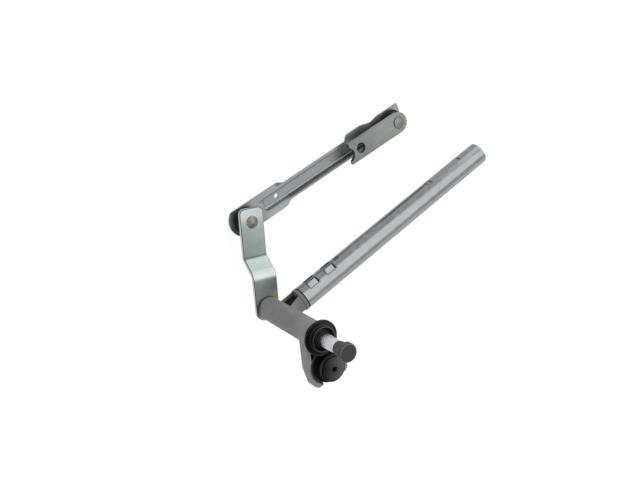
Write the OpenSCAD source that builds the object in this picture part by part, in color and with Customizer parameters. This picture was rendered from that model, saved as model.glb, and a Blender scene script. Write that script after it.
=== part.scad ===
// Windscreen wiper linkage: a cast pivot housing on a steel frame tube, with the
// spindle, the cranked lever, the pressed link rod and the motor crank.
// All sizes are in millimetres. The origin is on the spindle axis at the seat of
// the wiper arm, +Z runs along the spindle to its free end and +X along the tube.

/* [Spindle] */
// Diameter of the spindle in its bushes
spindle_d = 12; // [11:0.25:13]
// Length of the taper that takes the wiper arm
taper_len = 19.2; // [14:0.2:24]
// Diameter at the small end of the taper
taper_tip_d = 10.4; // [9.5:0.1:11]
// Diameter of the threaded end
thread_d = 8; // [6:0.25:9]
// Length of the threaded end
thread_len = 10; // [8:0.5:11]
// Diameter of the tenon that is riveted into the lever
tenon_d = 10; // [8:0.25:10.5]
// Diameter of the riveted head behind the lever
tenon_head_d = 15; // [13:0.5:18]
// Height of the riveted head behind the lever
tenon_head_h = 2.4; // [1.5:0.1:4]

/* [Pivot housing] */
// Diameter of the spindle barrel
barrel_d = 22; // [21:0.5:25]
// Length of the spindle barrel
barrel_len = 86.5; // [75:0.5:110]
// Depth of the front of the barrel below the wiper arm seat
barrel_below_seat = 12; // [11:0.25:16]
// Height of the wiper arm seat above the frame tube axis
seat_above_tube = 74; // [60:1:84]
// Thickness of the collar that the frame tube butts against
collar_t = 3; // [2:0.25:5]
// Step from the collar down to the stub behind it
stub_step = 0.8; // [0.4:0.1:1.5]
// Thickness of the web between the two pockets of the stub
stub_web_t = 4; // [3:0.25:6]
// Width of the wall behind the pockets of the stub
stub_wall_w = 13.2; // [10:0.2:14]
// Thickness of the wall behind the pockets of the stub
stub_wall_t = 2; // [1.2:0.1:3]
// Distance from the tube axis to the back of that wall
stub_back = 9.2; // [7:0.1:9.5]
// Height over the tube axis where the solid front of the stub starts at the collar
stub_front = 6; // [4:0.1:7]
// Rise of that start from the collar to the barrel
stub_rise = 1.8; // [0.2:0.1:2.5]
// Length of the spigot inside the frame tube
spigot_len = 50; // [46:1:64]
// Chamfer at the end of the spigot
spigot_chamfer = 1.5; // [0.5:0.25:3]

/* [Mounting fork] */
// Distance from the spindle axis to the grommet axis
fork_reach = 31.4; // [30:0.2:40]
// Turn of the fork about the spindle, away from the tube
fork_turn = 9.2; // [0:0.2:20]
// Width across the two prongs
fork_w = 35.2; // [33:0.2:40]
// Width of the slot that holds the grommet
slot_w = 19; // [16:0.5:21]
// Thickness of the fork along the spindle
fork_t = 12; // [9:0.5:16]
// Depth of the fork face below the front of the barrel
fork_setback = 2; // [1:0.25:6]
// Length of the prongs past the grommet axis
prong_len = 14.8; // [12:0.2:20]
// Length of the straight flanks above the prong ends
flank_len = 19.2; // [16:0.2:24]
// Chamfer at the corners of the prongs
prong_chamfer = 3; // [1:0.25:5]
// Thickness of the ribs along the middle and the flanks of the fork
flank_rib_t = 3; // [2:0.1:4]
// Thickness of the rims that close the pockets at the barrel and at the slot
fork_rim_t = 2.4; // [1.5:0.1:3]
// Depth of the pockets in the fork face
fork_pocket = 8; // [3:0.5:9]

/* [Frame tube] */
// Outside diameter of the frame tube
tube_d = 22; // [20:0.5:26]
// Wall of the frame tube
tube_wall = 1.5; // [1.2:0.1:2]
// Length of the frame tube
tube_len = 238; // [180:1:400]
// Distance from the spindle axis to the near end of the tube
tube_start = 25; // [22:0.5:32]
// Gap between the housing collar and the tube
tube_gap = 0.6; // [0.2:0.1:1.5]
// Diameter of the sized socket at the far end of the tube
socket_d = 19.4; // [19.2:0.1:19.8]
// Depth of the sized socket at the far end of the tube
socket_len = 24; // [15:1:32]

/* [Crimped tabs] */
// Length of the window of a tab that is pressed into the spigot
tab_len = 10.6; // [8:0.2:12]
// Width of the window of a tab
tab_w = 6.4; // [5:0.2:7]
// Tilt of a tab into the tube, about its hinge
tab_tilt = 18; // [12:1:20]
// Slit around the free edges of a tab
tab_slit = 0.8; // [0.4:0.05:1]
// Distance from the near end of the tube to the first tabs
tab_first = 9.2; // [6:0.2:12]
// Distance between the first and the second tabs
tab_pitch = 20.6; // [16:0.2:22]
// Turn of the middle line between two tabs, around the tube
tab_turn = 6; // [0:1:20]
// Angle from that line to the middle of a tab
tab_spread = 26; // [22:1:32]
// Depth of the dents in the tube
dent_press = 0.8; // [0.4:0.1:1]
// Distance from the near end of the tube to the near dent
near_dent_at = 44; // [42:0.5:60]
// Length of the near dent
near_dent_len = 5.5; // [3:0.5:8]
// Width of the near dent
near_dent_w = 4.6; // [3:0.2:6]
// Distance from the far end of the tube to the first far dent
far_dent_at = 31; // [30:0.5:40]
// Distance between the far dents
far_dent_pitch = 40; // [20:0.5:60]
// Length of the far dents
far_dent_len = 6.5; // [3:0.5:8]
// Width of the far dents
far_dent_w = 7.6; // [4:0.2:8]

/* [Bushes and front stack] */
// Wall of the spindle bushes
bush_wall = 2; // [1.5:0.1:2.5]
// Length of each spindle bush
bush_len = 18; // [12:0.5:26]
// Thickness of the thrust washer on the front of the barrel
washer_t = 1; // [0.6:0.1:1.4]
// Outside diameter of the front washers and the clip
washer_d = 18; // [17:0.25:19]
// Thickness of the dished spring washer
spring_t = 0.7; // [0.4:0.1:1]
// Rise of the dished spring washer
spring_rise = 0.8; // [0.4:0.1:1.2]
// Thickness of the retaining clip
clip_t = 1.2; // [0.8:0.1:1.5]
// Depth of the clip groove in the spindle
clip_groove = 1; // [0.6:0.1:1.5]
// Width of the opening in the retaining clip
clip_mouth = 8; // [6:0.5:9]
// Thickness of the washer between the barrel and the lever
rear_washer_t = 1.2; // [0.8:0.1:2]

/* [Dust cup] */
// Diameter of the flange of the dust cup
cup_flange_d = 31; // [29:0.5:33]
// Thickness of the flange of the dust cup
cup_flange_t = 2; // [1.5:0.1:2.5]
// Height of the flange face above the front of the barrel
cup_flange_h = 5.8; // [5:0.1:7]
// Diameter of the raised collar of the dust cup
cup_collar_d = 22.2; // [22:0.2:25]
// Height of the collar rim above the front of the barrel
cup_rim_h = 10.2; // [9.5:0.1:10.8]
// Wall of the collar and the skirt of the dust cup
cup_wall = 0.8; // [0.6:0.1:1.2]
// Length of the skirt behind the front of the barrel
cup_skirt = 1.6; // [0.8:0.1:1.9]
// Height of the spindle seal inside the cup
seal_h = 3.6; // [2.5:0.1:4.5]

/* [Thread cap] */
// Length of the thread cap
cap_len = 15.4; // [14:0.1:20]
// Diameter of the mouth of the thread cap
cap_mouth_d = 11.6; // [11.2:0.1:12.4]
// Diameter of the thread cap where its cone ends
cap_neck_d = 14.2; // [13:0.1:15]
// Diameter of the end of the thread cap
cap_end_d = 16.6; // [15.4:0.2:19]
// Length of the thick end of the thread cap
cap_end_len = 6.6; // [5:0.1:8]
// Rounding of the front edge of the thread cap
cap_round = 1.4; // [0.5:0.1:2]

/* [Mounting grommet] */
// Diameter of the front disc of the grommet
grommet_d = 23.6; // [21:0.2:25]
// Thickness of the front disc of the grommet
grommet_disc_t = 3.6; // [2.5:0.1:5]
// Diameter of the middle ring of the grommet
grommet_ring_d = 25; // [22:0.2:26]
// Thickness of the middle ring of the grommet
grommet_ring_t = 3.2; // [2:0.1:5]
// Diameter of the flanges that grip the fork
grommet_flange_d = 29; // [26:0.2:30]
// Thickness of the flanges that grip the fork
grommet_flange_t = 2.8; // [2:0.1:4]
// Bore of the grommet for the pin on the car body
grommet_bore = 5.2; // [4:0.1:7]
// Depth of the grooves between the discs of the grommet
grommet_groove = 0.8; // [0.3:0.1:1.2]
// Rise of the front disc towards its bore
grommet_crown = 1.8; // [0.5:0.1:3]

/* [Lever] */
// Distance from the spindle to the ball stud of the lever
lever_len = 79; // [75:0.5:100]
// Width of the lever strip
lever_w = 23.6; // [20:0.2:26]
// Thickness of the lever strip
lever_t = 4; // [3:0.25:5]
// Length of the strip past the ball stud
lever_end = 13.2; // [12:0.1:18]
// Length of the strip past the spindle
lever_foot = 12; // [11:0.1:16]
// Radius of the corners at the ball stud
lever_corner = 5; // [2:0.25:8]
// Radius of the corners at the spindle
foot_corner = 9; // [4:0.25:10]
// Set back of the ball stud end behind the spindle end
lever_offset = 16.2; // [12:0.2:22]
// Distance from the spindle to the start of the first bend
bend_start = 26.5; // [24:0.5:36]
// Angle of the bends
bend_angle = 50; // [35:1:65]
// Inside radius of the bend near the spindle
near_bend_r = 9; // [2:0.25:10]
// Inside radius of the bend near the ball stud
far_bend_r = 2.4; // [1.5:0.1:4]

/* [Ball joints] */
// Diameter of the balls
ball_d = 15; // [13:0.25:16]
// Diameter of the stud shank in the lever and the crank
shank_d = 9; // [7:0.25:9.5]
// Diameter of the neck between the stud collar and the ball
neck_d = 8.4; // [7:0.2:9]
// Diameter of the stud collar
stud_collar_d = 14; // [12:0.25:15]
// Thickness of the stud collar
stud_collar_t = 2; // [1.5:0.1:2.5]
// Diameter of the rivet heads
rivet_d = 12; // [10.5:0.25:14]
// Height of the domed rivet head on the lever
lever_rivet_h = 3; // [2:0.1:4]
// Height of the flat rivet head on the crank
crank_rivet_h = 1.6; // [1:0.1:2.5]
// Gap between the plates and the face of the link
joint_gap = 10.1; // [9.6:0.1:12]
// Outside diameter of the body of the sockets
socket_body_d = 19; // [18:0.2:20]
// Diameter of the flange of the sockets
socket_flange_d = 25; // [23:0.2:26]
// Thickness of the flange of the sockets
socket_flange_t = 2.6; // [2:0.1:3]
// Height of the lip that snaps behind the link
socket_lip = 0.6; // [0.3:0.1:0.9]
// Floor of the sockets behind the ball
socket_floor = 1.6; // [1:0.1:2.5]
// Wall of the rubber boots
boot_wall = 1.3; // [1:0.1:1.6]

/* [Link rod] */
// Distance between the two ball joints of the link
link_len = 185.6; // [170:0.5:260]
// Thickness of the link sheet
link_t = 1.8; // [1.5:0.1:2.2]
// Width of the flat ends of the link
paddle_w = 26.4; // [25:0.2:30]
// Radius of the round end at the lever
paddle_r = 16.4; // [15:0.2:20]
// Length of the square end past the crank joint
paddle_end = 14.6; // [13:0.2:18]
// Width of the shoulders at the crank end of the link
shoulder_w = 29; // [27:0.2:32]
// Width of the waist at the crank end of the link
waist_w = 23; // [22:0.2:25]
// Length of the wide part of the link from the lever joint
paddle_len = 42.5; // [40:0.5:60]
// Length of the wide part of the link from the crank joint
hip_len = 51.5; // [46:0.5:66]
// Length of the curve from that wide part to the narrow part
paddle_slope = 13; // [4:0.25:16]
// Length of the curve from the narrow part to the shoulders
hip_slope = 8; // [4:0.25:10]
// Distance from the crank joint to the narrow end of the shoulders
hip_at = 35; // [30:0.5:40]
// Distance from the crank joint to the waist
waist_at = 21.6; // [18:0.2:26]
// Width of the narrow part of the link
channel_w = 15.8; // [14:0.2:18]
// Depth of the groove in the link
groove_depth = 5.5; // [4:0.25:7]
// Distance from the joints to the ends of the groove
groove_start = 19; // [16:0.25:24]
// Distance from the lever joint to the small hole in the groove
link_hole_at = 40.5; // [34:0.5:60]
// Diameter of the small hole in the groove
link_hole_d = 4.4; // [3:0.1:6]

/* [Motor crank] */
// Distance from the motor shaft to the ball stud of the crank
crank_len = 50.4; // [40:0.2:70]
// Width of the crank
crank_w = 20.8; // [19:0.2:24]
// Thickness of the crank
crank_t = 4; // [3:0.25:6]
// Bore of the crank for the motor shaft
motor_bore = 10; // [8:0.1:11]
// Length of the crank past the motor shaft
crank_tail = 13.5; // [12:0.25:18]
// Slant of the tail, from the middle to either corner
tail_slant = 1.8; // [0:0.1:2]
// Radius of the hollow in the tail of the crank
tail_hollow_r = 7; // [5:0.25:8]
// Thickness left between the motor bore and the hollow
tail_neck = 3.8; // [2.5:0.1:6]

/* [Pose drawn] */
// Direction of the lever from the spindle
lever_angle = 64.9; // [40:0.1:100]
// Direction of the link from the lever joint
link_angle = -3.3; // [-30:0.1:20]
// Direction of the crank from its ball stud to the motor shaft
crank_angle = 176.4; // [140:0.1:220]

/* [Fits] */
// Gap of a running fit on the radius
run_fit = 0.04; // [0.02:0.01:0.08]
// Gap of a seated fit on the radius
seat_fit = 0.02; // [0.01:0.01:0.05]
// Gap of a loose fit
loose_fit = 0.3; // [0.2:0.05:0.5]

/* [Hidden] */
$fn = 72;

// Overlap that makes a cut pass cleanly through a face
over = 1;
// Steps in each eased curve of the link
ease_steps = 8;
// Steps in each bend of the lever
bend_steps = 8;
// Step from the outside of the tube to a tab at its hinge
tab_step = 0.1;

// Levels along the spindle
tube_z = -seat_above_tube;
barrel_front = -barrel_below_seat;
barrel_rear = barrel_front - barrel_len;
fork_face = barrel_front - fork_setback;
lever_face = barrel_rear - rear_washer_t - run_fit;
lever_back = lever_face - lever_t;
arm_back = lever_back - lever_offset;
link_face = arm_back - joint_gap;
ball_z = link_face - link_t / 2;
crank_back = link_face + joint_gap;
crank_face = crank_back + crank_t;

// Radii and lengths that several pieces share
barrel_r = barrel_d / 2;
tube_r = tube_d / 2;
tube_bore_r = tube_r - tube_wall;
collar_x = tube_start - tube_gap;
spigot_r = tube_bore_r - seat_fit;
bush_r = spindle_d / 2 + run_fit + bush_wall;
ball_r = ball_d / 2;
socket_r = ball_r + run_fit;
socket_body_r = socket_body_d / 2;
socket_back = ball_z - socket_r - socket_floor;
clip_z = barrel_front + washer_t + spring_t + spring_rise;
clip_inner_r = spindle_d / 2 - clip_groove + seat_fit;
seal_z = clip_z + clip_t + loose_fit;
cup_bore_r = cup_collar_d / 2 - cup_wall;
cap_z = taper_len + run_fit;
cap_bore_r = thread_d / 2 + run_fit;
fork_half = fork_w / 2;
fork_end = -fork_reach - prong_len;
flank_y = fork_end + flank_len;
neck_r = slot_w / 2 - seat_fit;

// Centres of the joints in the pose drawn
lever_joint = lever_len * [cos(lever_angle), sin(lever_angle)];
crank_joint = lever_joint + link_len * [cos(link_angle), sin(link_angle)];

// Ring made by turning the square between two radii and two heights
module ring(r0, r1, z0, z1) {
    translate([0, 0, z0])
        difference() {
            cylinder(r = r1, h = z1 - z0);
            translate([0, 0, -over]) cylinder(r = r0, h = z1 - z0 + 2 * over);
        }
}

// Solid turned from a profile of radius and height pairs
module turned(profile) {
    rotate_extrude() polygon(profile);
}

// Rod along +X
module rod_x(r, x0, x1) {
    translate([x0, 0, 0]) rotate([0, 90, 0]) cylinder(r = r, h = x1 - x0);
}

// Strip from x0 to x1 about the X axis, with corners of one radius at each end
module round_strip(x0, x1, width, r0, r1) {
    translate([x0 + r0, -width / 2]) square([x1 - x0 - r0 - r1, width]);
    for (end = [[x0, r0, 1], [x1, r1, -1]]) {
        r = end[1];
        centre_x = end[0] + end[2] * r;
        for (y = [-1, 1]) translate([centre_x, y * (width / 2 - r)]) circle(r = r);
        translate([min(end[0], centre_x), -width / 2 + r]) square([r, width - 2 * r]);
    }
}

// Places its children at every crimped tab, in mirrored pairs on both sides of the tube
module at_tabs() {
    for (place = [0, 1], side = [0, 180], half = [0, 1])
        translate([tube_start + tab_first + place * tab_pitch, 0, 0])
            rotate([tab_turn + side, 0, 0]) mirror([0, 0, half]) rotate([tab_spread, 0, 0]) children();
}

// Block along X that cuts the wall of the tube on its +Y side from radius r outwards
module wall_block(length, width, r) {
    translate([0, r, -width / 2]) cube([length, tube_r + over - r, width]);
}

// Plate of a tab that tilts into the tube about its hinge on -Z, grown by the fit and the height given
module tab_plate(fit, height) {
    hinge_y = sqrt(tube_r * tube_r - tab_w * tab_w / 4);
    slit = tab_slit - fit;
    translate([slit, hinge_y, -tab_w / 2]) rotate([tab_tilt, 0, 0]) translate([0, -tube_wall - fit, -over])
        cube([tab_len - 2 * slit, tube_wall + fit + height, tab_w - slit + over]);
}

// Casting between the barrel and the tube, with a pocket on each side of its web
module stub() {
    stub_top = stub_front + stub_rise;
    rod_x(tube_r, collar_x - collar_t, collar_x);
    intersection() {
        rod_x(tube_r - stub_step, 0, collar_x);
        translate([0, tube_r, 0]) rotate([90, 0, 0]) linear_extrude(tube_d) polygon([
            [0, stub_top],
            [barrel_r, stub_top],
            [collar_x - collar_t, stub_front],
            [collar_x, stub_front],
            [collar_x, tube_r],
            [0, tube_r]
        ]);
    }
    translate([0, -stub_web_t / 2, -stub_back]) cube([collar_x, stub_web_t, stub_back + stub_top]);
    translate([0, -stub_wall_w / 2, -stub_back]) cube([collar_x, stub_wall_w, stub_wall_t]);
}

// Spigot inside the tube, with a pocket for every crimped tab
module spigot() {
    spigot_end = collar_x + spigot_len;
    difference() {
        union() {
            rod_x(spigot_r, collar_x - over, spigot_end - spigot_chamfer);
            translate([spigot_end - spigot_chamfer, 0, 0]) rotate([0, 90, 0])
                cylinder(r1 = spigot_r, r2 = spigot_r - spigot_chamfer, h = spigot_chamfer);
        }
        at_tabs() tab_plate(loose_fit, tube_wall);
    }
}

// Outline of the fork about its middle line, from the barrel to the two prongs
module fork_outline() {
    polygon([
        [-barrel_r, 0],
        [-fork_half, flank_y],
        [-fork_half, fork_end + prong_chamfer],
        [-fork_half + prong_chamfer, fork_end],
        [fork_half - prong_chamfer, fork_end],
        [fork_half, fork_end + prong_chamfer],
        [fork_half, flank_y],
        [barrel_r, 0]
    ]);
}

// Slot of the fork, round at the grommet and open at the prong ends
module fork_slot() {
    translate([0, -fork_reach]) circle(d = slot_w);
    translate([-slot_w / 2, fork_end - over]) square([slot_w, prong_len + over]);
}

// Pocket beside one flank, between its rib, the middle rib, the barrel and the rim round the grommet
module flank_pocket(side) {
    difference() {
        polygon([
            [side * flank_rib_t / 2, 0],
            [side * (barrel_r - flank_rib_t), 0],
            [side * (fork_half - flank_rib_t), flank_y],
            [side * flank_rib_t / 2, flank_y]
        ]);
        circle(r = barrel_r + fork_rim_t);
        translate([0, -fork_reach]) circle(r = grommet_flange_d / 2 + fork_rim_t);
    }
}

module pivot_housing() {
    color("gray") difference() {
        union() {
            translate([0, 0, barrel_rear]) cylinder(d = barrel_d, h = barrel_len);
            rotate([0, 0, -fork_turn]) translate([0, 0, fork_face - fork_t])
                linear_extrude(fork_t) fork_outline();
            translate([0, 0, tube_z]) {
                stub();
                spigot();
            }
        }
        translate([0, 0, barrel_rear - over]) cylinder(r = bush_r, h = barrel_len + 2 * over);
        rotate([0, 0, -fork_turn]) {
            translate([0, 0, fork_face - fork_t - over]) linear_extrude(fork_t + 2 * over) fork_slot();
            translate([0, 0, fork_face - fork_pocket]) linear_extrude(fork_pocket + over) {
                flank_pocket(-1);
                flank_pocket(1);
            }
        }
    }
}

module frame_tube() {
    tube_end = tube_start + tube_len;
    color("silver") translate([0, 0, tube_z]) {
        difference() {
            rod_x(tube_r, tube_start, tube_end);
            rod_x(tube_bore_r, tube_start - over, tube_end + over);
            rod_x(socket_d / 2, tube_end - socket_len, tube_end + over);
            at_tabs() wall_block(tab_len, tab_w, 0);
            rotate([tab_turn, 0, 0]) {
                translate([tube_start + near_dent_at, 0, 0])
                    wall_block(near_dent_len, near_dent_w, tube_r - dent_press);
                for (row = [0, 1])
                    translate([tube_end - far_dent_at - row * far_dent_pitch, 0, 0])
                        wall_block(far_dent_len, far_dent_w, tube_r - dent_press);
            }
        }
        // The tabs join the wall at their hinges, a small step below its outside
        intersection() {
            rod_x(tube_r - tab_step, tube_start, tube_end);
            at_tabs() tab_plate(0, 0);
        }
    }
}

module bush(z0) {
    ring(spindle_d / 2 + run_fit, bush_r - seat_fit, z0, z0 + bush_len);
}

module front_bush() {
    color("darkgoldenrod") bush(barrel_front - bush_len);
}

module rear_bush() {
    color("darkgoldenrod") bush(barrel_rear);
}

module dust_cup() {
    skirt_r = barrel_r + seat_fit;
    flange_top = barrel_front + cup_flange_h;
    color("black") {
        turned([
            [skirt_r, barrel_front - cup_skirt],
            [skirt_r + cup_wall, barrel_front - cup_skirt],
            [skirt_r + cup_wall, flange_top - cup_flange_t],
            [cup_flange_d / 2, flange_top - cup_flange_t],
            [cup_flange_d / 2, flange_top],
            [cup_collar_d / 2, flange_top],
            [cup_collar_d / 2, barrel_front + cup_rim_h],
            [cup_bore_r, barrel_front + cup_rim_h],
            [cup_bore_r, barrel_front],
            [skirt_r, barrel_front]
        ]);
    }
}

module spindle_seal() {
    lip_r = spindle_d / 2 + loose_fit;
    color("black") turned([
        [lip_r, seal_z],
        [cup_bore_r - seat_fit, seal_z],
        [cup_bore_r - seat_fit, seal_z + seal_h / 2],
        [lip_r + cup_wall, seal_z + seal_h],
        [lip_r, seal_z + seal_h]
    ]);
}

module rear_washer() {
    color("black") ring(spindle_d / 2 + loose_fit, barrel_r, barrel_rear - rear_washer_t, barrel_rear);
}

module mounting_grommet() {
    back = fork_face - fork_t;
    ring_z = fork_face + grommet_flange_t;
    disc_z = ring_z + grommet_ring_t;
    front = disc_z + grommet_disc_t;
    bore_r = grommet_bore / 2;
    groove_r = grommet_d / 2 - grommet_groove;
    color("dimgray") rotate([0, 0, -fork_turn]) translate([0, -fork_reach, 0]) turned([
        [bore_r, back - grommet_flange_t],
        [grommet_flange_d / 2, back - grommet_flange_t],
        [grommet_flange_d / 2, back],
        [neck_r, back],
        [neck_r, fork_face],
        [grommet_flange_d / 2, fork_face],
        [grommet_flange_d / 2, ring_z],
        [groove_r, ring_z],
        [grommet_ring_d / 2, ring_z + grommet_groove],
        [grommet_ring_d / 2, disc_z - grommet_groove],
        [groove_r, disc_z],
        [grommet_d / 2, disc_z],
        [grommet_d / 2, front - grommet_groove / 2],
        [groove_r, front],
        [bore_r, front + grommet_crown]
    ]);
}

module spindle() {
    r = spindle_d / 2;
    groove_r = r - clip_groove;
    head_back = lever_back - tenon_head_h;
    head_edge = tenon_head_h / 2;
    color("gainsboro") turned([
        [0, head_back],
        [tenon_head_d / 2 - head_edge, head_back],
        [tenon_head_d / 2, lever_back - head_edge],
        [tenon_head_d / 2, lever_back],
        [tenon_d / 2, lever_back],
        [tenon_d / 2, lever_face],
        [r, lever_face],
        [r, clip_z],
        [groove_r, clip_z],
        [groove_r, clip_z + clip_t],
        [r, clip_z + clip_t],
        [r, 0],
        [taper_tip_d / 2, taper_len],
        [thread_d / 2, taper_len],
        [thread_d / 2, taper_len + thread_len - over],
        [thread_d / 2 - over, taper_len + thread_len],
        [0, taper_len + thread_len]
    ]);
}

module front_washer() {
    color("silver") ring(spindle_d / 2 + seat_fit, washer_d / 2, barrel_front, barrel_front + washer_t);
}

module spring_washer() {
    base = barrel_front + washer_t;
    inner = spindle_d / 2 + seat_fit;
    color("silver") turned([
        [washer_d / 2, base],
        [washer_d / 2, base + spring_t],
        [inner, base + spring_t + spring_rise],
        [inner, base + spring_rise]
    ]);
}

module retaining_clip() {
    color("silver") difference() {
        ring(clip_inner_r, washer_d / 2, clip_z, clip_z + clip_t);
        translate([0, -clip_mouth / 2, clip_z - over]) cube([washer_d, clip_mouth, clip_t + 2 * over]);
    }
}

// Side view of the lever strip, a little too long: distance from the spindle and height over its face
module lever_profile() {
    half_t = lever_t / 2;
    near_r = near_bend_r + half_t;
    far_r = far_bend_r + half_t;
    both_r = near_r + far_r;
    slope = (lever_offset - both_r * (1 - cos(bend_angle))) / sin(bend_angle);
    bend_end = bend_start + both_r * sin(bend_angle) + slope * cos(bend_angle);
    turns = [for (i = [0:bend_steps]) bend_angle * i / bend_steps];
    near_bend = [for (a = turns) [bend_start + near_r * sin(a), -half_t - near_r * (1 - cos(a)), a]];
    far_bend = [for (i = [bend_steps:-1:0]) let (a = turns[i])
        [bend_end - far_r * sin(a), -lever_offset - half_t + far_r * (1 - cos(a)), a]];
    middle = concat(
        [[-lever_foot - over, -half_t, 0]],
        near_bend,
        far_bend,
        [[lever_len + lever_end + over, -lever_offset - half_t, 0]]);
    last = len(middle) - 1;
    face = [for (p = middle) [p[0] + half_t * sin(p[2]), p[1] + half_t * cos(p[2])]];
    back = [for (p = middle) [p[0] - half_t * sin(p[2]), p[1] - half_t * cos(p[2])]];
    polygon(concat(face, [for (i = [last:-1:0]) back[i]]));
}

module crank_lever() {
    depth = lever_offset + lever_t + 2 * over;
    color("lightgray") rotate([0, 0, lever_angle]) translate([0, 0, lever_face]) difference() {
        intersection() {
            rotate([90, 0, 0]) linear_extrude(lever_w + 2 * over, center = true) lever_profile();
            translate([0, 0, -depth + over]) linear_extrude(depth)
                round_strip(-lever_foot, lever_len + lever_end, lever_w, foot_corner, lever_corner);
        }
        translate([0, 0, -depth]) cylinder(r = tenon_d / 2 + seat_fit, h = depth + over);
        translate([lever_len, 0, -depth]) cylinder(r = shank_d / 2 + seat_fit, h = depth + over);
    }
}

// Ball stud whose plate lies between two levels, with a head of the height given
module ball_stud(plate_back, plate_face, head_h, dome_r) {
    collar_z = plate_back - stud_collar_t;
    translate([0, 0, ball_z]) sphere(r = ball_r);
    translate([0, 0, ball_z]) cylinder(d = neck_d, h = collar_z - ball_z);
    translate([0, 0, collar_z]) cylinder(d = stud_collar_d, h = stud_collar_t);
    translate([0, 0, plate_back]) cylinder(d = shank_d, h = plate_face - plate_back);
    intersection() {
        translate([0, 0, plate_face]) cylinder(d = rivet_d, h = head_h);
        translate([0, 0, plate_face + head_h - dome_r]) sphere(r = dome_r);
    }
}

// Radius of a dome that meets the edge of a rivet head at its foot
function dome_radius(head_h) = (pow(rivet_d / 2, 2) + head_h * head_h) / (2 * head_h);

module lever_ball_stud() {
    color("tan") translate(lever_joint)
        ball_stud(arm_back, arm_back + lever_t, lever_rivet_h, dome_radius(lever_rivet_h));
}

module crank_ball_stud() {
    color("tan") translate(crank_joint)
        ball_stud(crank_back, crank_face, crank_rivet_h, 2 * dome_radius(crank_rivet_h));
}

module thread_cap() {
    end_z = cap_z + cap_len;
    neck_z = end_z - cap_end_len;
    end_r = cap_end_d / 2;
    step = (cap_end_d - cap_neck_d) / 2;
    thread_top = taper_len + thread_len + loose_fit;
    rounding = [for (a = [0:30:90]) [end_r - cap_round * (1 - cos(a)), end_z - 2 * cap_round * (1 - sin(a))]];
    color("dimgray") turned(concat(
        [
            [cap_bore_r, cap_z],
            [cap_mouth_d / 2, cap_z],
            [cap_neck_d / 2, neck_z],
            [end_r, neck_z + step]
        ],
        rounding,
        [
            [0, end_z],
            [0, thread_top],
            [cap_bore_r, thread_top]
        ]));
}

// Points of a curve that eases from one place on the edge of the link to another
function ease(from, to) = [for (i = [0:ease_steps])
    [from[0] + (to[0] - from[0]) * i / ease_steps,
     from[1] + (to[1] - from[1]) * (1 - cos(180 * i / ease_steps)) / 2]];

// Points mirrored in the X axis, in the other order
function mirrored(points) = [for (i = [len(points) - 1:-1:0]) [points[i][0], -points[i][1]]];

// Flat outline of the link along X, from the lever joint to the crank joint
module link_outline() {
    half = paddle_w / 2;
    hip = shoulder_w / 2;
    edge = concat(
        [[0, half]],
        ease([paddle_len, half], [paddle_len + paddle_slope, channel_w / 2]),
        ease([link_len - hip_len - hip_slope, channel_w / 2], [link_len - hip_len, hip]),
        ease([link_len - hip_at, hip], [link_len - waist_at, waist_w / 2]),
        ease([link_len - waist_at, waist_w / 2], [link_len - waist_at / 2, half]),
        [[link_len + paddle_end, half]]);
    polygon(concat(edge, mirrored(edge)));
    intersection() {
        translate([-paddle_r, -half]) square([paddle_r + paddle_len, paddle_w]);
        circle(r = paddle_r);
    }
}

// Groove along the link with round ends, of the half width given
module groove_outline(half) {
    x0 = groove_start + channel_w / 2;
    x1 = link_len - x0;
    translate([x0, -half]) square([x1 - x0, 2 * half]);
    translate([x0, 0]) circle(r = half);
    translate([x1, 0]) circle(r = half);
}

module link_rod() {
    wall = channel_w / 2 - link_t;
    web_face = link_face - groove_depth;
    color("lightsteelblue") translate(lever_joint) rotate([0, 0, link_angle]) difference() {
        union() {
            translate([0, 0, link_face - link_t]) linear_extrude(link_t) link_outline();
            translate([0, 0, web_face - link_t]) linear_extrude(groove_depth + link_t)
                groove_outline(channel_w / 2);
        }
        translate([0, 0, web_face]) linear_extrude(groove_depth + over) groove_outline(wall);
        for (x = [0, link_len])
            translate([x, 0, web_face - over])
                cylinder(r = socket_body_r + seat_fit, h = groove_depth + 2 * over);
        translate([link_hole_at, 0, web_face - link_t - over])
            cylinder(d = link_hole_d, h = link_t + 2 * over);
    }
}

// Plastic socket that snaps into the link and holds a ball
module ball_socket() {
    lip_z = link_face - link_t;
    top = link_face + socket_flange_t;
    difference() {
        turned([
            [0, socket_back],
            [socket_body_r - socket_floor, socket_back],
            [socket_body_r, socket_back + socket_floor],
            [socket_body_r, lip_z - 2 * socket_lip],
            [socket_body_r + socket_lip, lip_z - socket_lip],
            [socket_body_r + socket_lip, lip_z],
            [socket_body_r, lip_z],
            [socket_body_r, link_face],
            [socket_flange_d / 2, link_face],
            [socket_flange_d / 2, top],
            [0, top]
        ]);
        translate([0, 0, ball_z]) sphere(r = socket_r);
    }
}

// Rubber boot between a socket and the plate above it
module joint_boot() {
    foot = link_face + socket_flange_t;
    head = arm_back - loose_fit;
    lip_r = stud_collar_d / 2 + loose_fit;
    rim_r = socket_flange_d / 2 - boot_wall;
    turned([
        [rim_r - boot_wall, foot],
        [rim_r, foot],
        [rim_r, foot + boot_wall],
        [lip_r + boot_wall, head],
        [lip_r, head],
        [lip_r, head - boot_wall]
    ]);
}

module lever_ball_socket() {
    color("black") translate(lever_joint) ball_socket();
}

module crank_ball_socket() {
    color("black") translate(crank_joint) ball_socket();
}

module lever_joint_boot() {
    color("black") translate(lever_joint) joint_boot();
}

module crank_joint_boot() {
    color("black") translate(crank_joint) joint_boot();
}

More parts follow.
